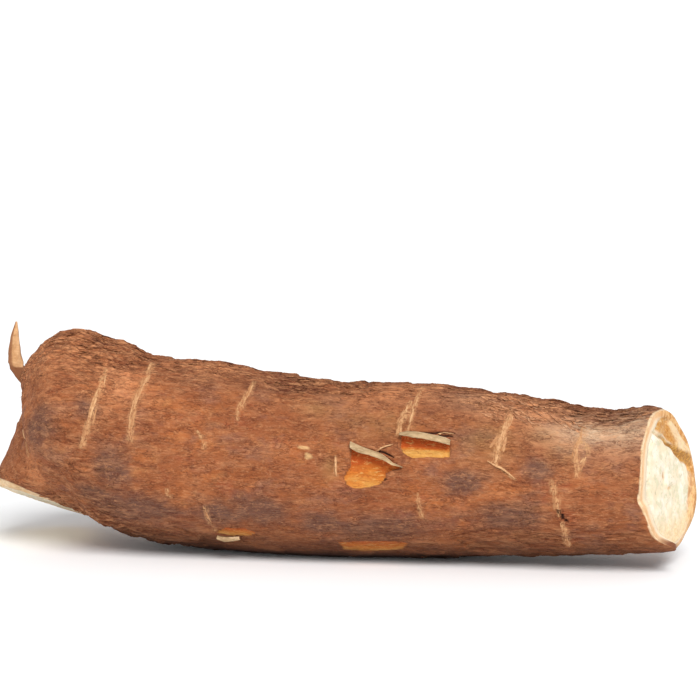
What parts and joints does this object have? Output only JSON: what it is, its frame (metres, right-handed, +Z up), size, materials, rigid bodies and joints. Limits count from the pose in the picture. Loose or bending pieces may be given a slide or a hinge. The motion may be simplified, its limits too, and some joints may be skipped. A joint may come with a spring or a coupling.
{
  "type": "cassava root",
  "caption": "Long woody-barked tuber lying on its side, bent down to a slanted cut at its thick neck, its thin end hacked across to show white flesh.",
  "frame": {"origin": "middle of the root seen from above, on the surface that it lies on", "axes": "+X from the thick neck to the thin end, +Z up, -Y towards the side that is seen first"},
  "size_m": [0.258, 0.07, 0.0818],
  "materials": {
    "bark": "rough brown bark with lengthwise fissures, grey-violet stains and pale corky scars",
    "rind": "matt moist peel layer, peach to ochre, seen as a ring on the cuts and where the bark is nicked",
    "flesh": "matt starchy white flesh, uneven from the cut, with grey flecks"
  },
  "bodies": {
    "root": {"cassava_root": "bark"}
  },
  "joints": []
}
